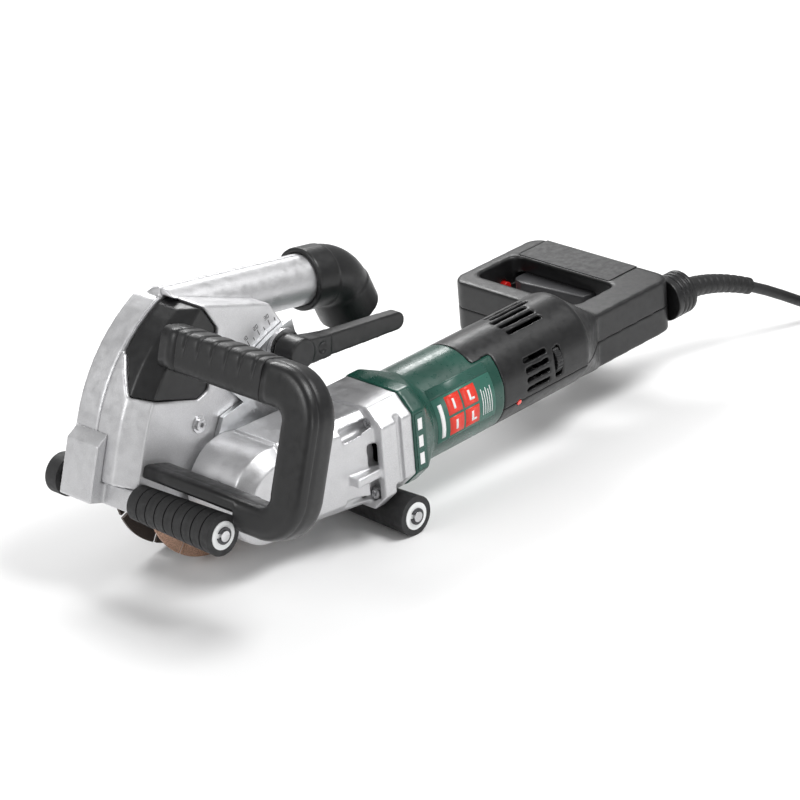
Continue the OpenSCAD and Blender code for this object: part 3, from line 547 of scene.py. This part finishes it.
# ---------------------------------------------------------------- sleeve, label, scale and badge
def sleeve_point(t):
    run = SLEEVE_END - SLEEVE_START
    return Vector((SLEEVE_START.x + run.x * t, SLEEVE_START.y + run.y * t * t,
                   SLEEVE_START.z + run.z * t * (0.3 + 0.7 * t)))


def make_sleeve():
    """Bend protection sleeve: a taper with short ribs towards its tip."""
    rings, steps, sides = [], 90, 28
    root_r, taper, rib_count, rib_start = 9, 2, 11, 0.18
    for i in range(steps + 1):
        t = i / steps
        here = sleeve_point(t)
        ahead = (sleeve_point(min(t + 0.01, 1.0)) - sleeve_point(max(t - 0.01, 0.0))).normalized()
        side = ahead.cross(Vector((0, 0, 1))).normalized()
        up = side.cross(ahead)
        rib = 0.5 * max(0.0, math.sin(2 * math.pi * rib_count * t)) if t > rib_start else 0.0
        radius = root_r - taper * t - rib
        rings.append([here + radius * (math.cos(a) * side + math.sin(a) * up)
                      for a in (2 * math.pi * k / sides for k in range(sides))])
    return stand_for(rings_mesh("bend_sleeve", rings, UNIT), "cable_sleeve", MATERIALS["cord_rubber"])


MOTOR_R = 38.1


def wrap(name, s_span, angles, material, lift):
    """Thin panel on the round motor housing; s runs rearward, and angles go up from the near side."""
    columns = max(3, int(abs(angles[1] - angles[0]) / 3) + 1)
    points, faces = [], []
    for level in (MOTOR_R - 0.4, MOTOR_R + lift):
        for s in s_span:
            for k in range(columns + 1):
                a = math.radians(angles[0] + (angles[1] - angles[0]) * k / columns)
                points.append(UNIT @ Vector((-s, level * math.cos(a), level * math.sin(a))))
    row = columns + 1
    for k in range(columns):
        faces.append((k, k + 1, row + k + 1, row + k))
        faces.append((2 * row + k, 3 * row + k, 3 * row + k + 1, 2 * row + k + 1))
        faces.append((k, 2 * row + k, 2 * row + k + 1, k + 1))
        faces.append((row + k, row + k + 1, 3 * row + k + 1, 3 * row + k))
    for k in (0, columns):
        faces.append((k, row + k, 3 * row + k, 2 * row + k))
    return dress(add_mesh(name, points, faces), "motor_unit", material)


def make_label():
    """Rating panel with four red fields; the marks in them are plain bars."""
    panel, field, mark = 0.2, 0.35, 0.45       # how far each layer stands out
    span = (150, 213)
    wrap("label_panel", span, (-20, 34), LABEL_GREEN, panel)
    wrap("label_band", span, (34.4, 47), LABEL_DARK, panel)
    fields = [(s0, a0) for a0 in (-16, 9) for s0 in (163, 180)]
    for i, (s0, a0) in enumerate(fields):
        wrap(f"label_field_{i}", (s0, s0 + 15), (a0, a0 + 22), LABEL_RED, field)
        middle, high = s0 + 7.5, a0 + 11
        wrap(f"label_mark_{i}", (middle - 1.1, middle + 1.1), (high - 6, high + 6), LABEL_WHITE, mark)
        if i % 2:
            wrap(f"label_foot_{i}", (middle + 1.1, middle + 4.4), (high - 6, high - 3.4), LABEL_WHITE, mark)
    for i in range(5):
        start = 199 + 2.4 * i
        wrap(f"label_line_{i}", (start, start + 0.7), (-12, 20 - 3 * (i % 2)), LABEL_WHITE, field)
    wrap("label_bar_0", (154, 158), (-14, 26), LABEL_WHITE, field)


STROKES = {      # the two ends of each stroke, in parts of a digit's width and height
    "0": [(0, 0, 1, 0), (0, 1, 1, 1), (0, 0, 0, 1), (1, 0, 1, 1)], "1": [(1, 0, 1, 1)],
    "2": [(0, 1, 1, 1), (1, 0.5, 1, 1), (0, 0.5, 1, 0.5), (0, 0, 0, 0.5), (0, 0, 1, 0)],
    "3": [(0, 1, 1, 1), (1, 0, 1, 1), (0, 0.5, 1, 0.5), (0, 0, 1, 0)],
}


def digits(text, place):
    """Plain depth figures from straight strokes; they read along local Z and stand along local X."""
    wide, tall, half, pitch = 1.5, 2.9, 0.2, 2.5
    bars = []
    for i, digit in enumerate(text):
        start = (i - len(text) / 2) * pitch
        for z0, x0, z1, x1 in STROKES[digit]:
            bars.append(box_mesh("stroke", (x0 * tall - half, -0.2, start + z0 * wide - half),
                                 (x1 * tall + half, 0.12, start + z1 * wide + half), place))
    return bars


def make_depth_scale():
    """Tick marks and depth figures on the guard beside the depth bracket's arc."""
    ticks, radius, wheelbase, guard_face_y = [], 157.5, 200, -88
    first, step = 41, 2.1      # degrees round the rear axle
    for i in range(8):
        angle = math.radians(first + step * i)
        figure = i % 2 == 0
        end = radius + (5 if figure else 3)
        place = GUARD @ Matrix.Translation((-wheelbase, guard_face_y, 0)) @ Matrix.Rotation(-angle, 4, "Y")
        ticks.append(box_mesh("tick", (radius, -0.2, -0.3), (end, 0.12, 0.3), place))
        if figure:
            ticks += digits(str(5 * i), place @ Matrix.Translation((radius + 6.5, 0, 0)))
    return dress(join("depth_scale", ticks), "guard", SCALE_INK)


def make_badge():
    """Plain raised panel on the near side of the housing's flange, with three bars."""
    panel = box_mesh("badge_panel", (-128, 44.6, -19), (-119.5, 45.6, 26), UNIT)
    dress(panel, "motor_unit", LABEL_DARK)
    bars = [box_mesh("bar", (-126, 45.5, z), (-121.5, 45.9, z + 9), UNIT) for z in (-15, -1, 13)]
    return dress(join("badge_bars", bars), "motor_unit", LABEL_WHITE)


# ---------------------------------------------------------------- dressing
for node, piece in frame["nodes"].items():
    for slot in piece.material_slots:
        slot.material = MATERIALS[SLOT_OF[node]]

NECK_X = -318            # the rear body's round part ends here, and its square loop begins
SPLIT_Z, SPLIT_EDGE = -14, 2.2
make_bow()
make_bow_grip()
make_sleeve()
make_label()
make_depth_scale()
make_badge()
for node, voxel, rounds in (
        ("guard_near_shell", 0.9, 5), ("guard_far_shell", 0.9, 5), ("front_carrier", 0.8, 5),
        ("rear_carrier", 0.8, 5), ("gear_case", 0.8, 5), ("motor_housing", 0.9, 5), ("handle_mount", 0.8, 4),
        ("clamp_lever", 0.7, 6), ("suction_elbow", 0.9, 5), ("cable_collar", 0.6, 3), ("trigger", 0.6, 6),
        ("lock_button", 0.4, 3)):
    soften(node, voxel, rounds)
for node in ("rear_shell_upper", "rear_shell_lower"):
    soften(node, 0.9, 3, extra=lambda p: p.x < NECK_X and abs(p.z - SPLIT_Z) > SPLIT_EDGE)


# ---------------------------------------------------------------- floor and light
def make_floor():
    size = 6.0
    points = [(x, y, FLOOR_Z) for x, y in ((-size, -size), (size, -size), (size, size), (-size, size))]
    floor = add_mesh("floor", points, [(0, 1, 2, 3)], smooth=False)
    s = Shader("floor_paint")
    tone = s.mix(s.ramp(s.noise(1.5), 0.3, 0.7), (0.86, 0.86, 0.86), (0.9, 0.9, 0.9))
    floor.data.materials.append(s.finish(tone, s.ramp(s.noise(3), 0.3, 0.7, 0.75, 0.85)))


def area_light(name, place, aim, size, power):
    data = bpy.data.lights.new(name, "AREA")
    data.shape = "RECTANGLE"
    data.size, data.size_y = size
    data.energy = power
    light = add_object(name, data)
    light.location = place
    light.rotation_mode = "QUATERNION"
    light.rotation_quaternion = (Vector(aim) - Vector(place)).to_track_quat("-Z", "Y")


def make_light():
    world = bpy.data.worlds.new("studio")
    bpy.context.scene.world = world
    world.use_nodes = True
    backdrop = world.node_tree.nodes["Background"]
    backdrop.inputs["Color"].default_value = (1, 1, 1, 1)
    backdrop.inputs["Strength"].default_value = 0.42
    area_light("key", (-0.5, 0.9, 1.9), (0, 0, 0.05), (1.1, 0.7), 34)
    area_light("front", (1.9, -0.5, 1.1), (0.1, 0, 0.1), (0.8, 0.9), 14)
    area_light("side", (0.9, 1.9, 0.5), (0.1, 0, 0.1), (0.5, 0.6), 5)
    area_light("back", (-0.7, -1.3, 1.2), (0, 0, 0.1), (1.2, 0.4), 20)


make_floor()
make_light()
bpy.context.scene.view_settings.view_transform = "Standard"
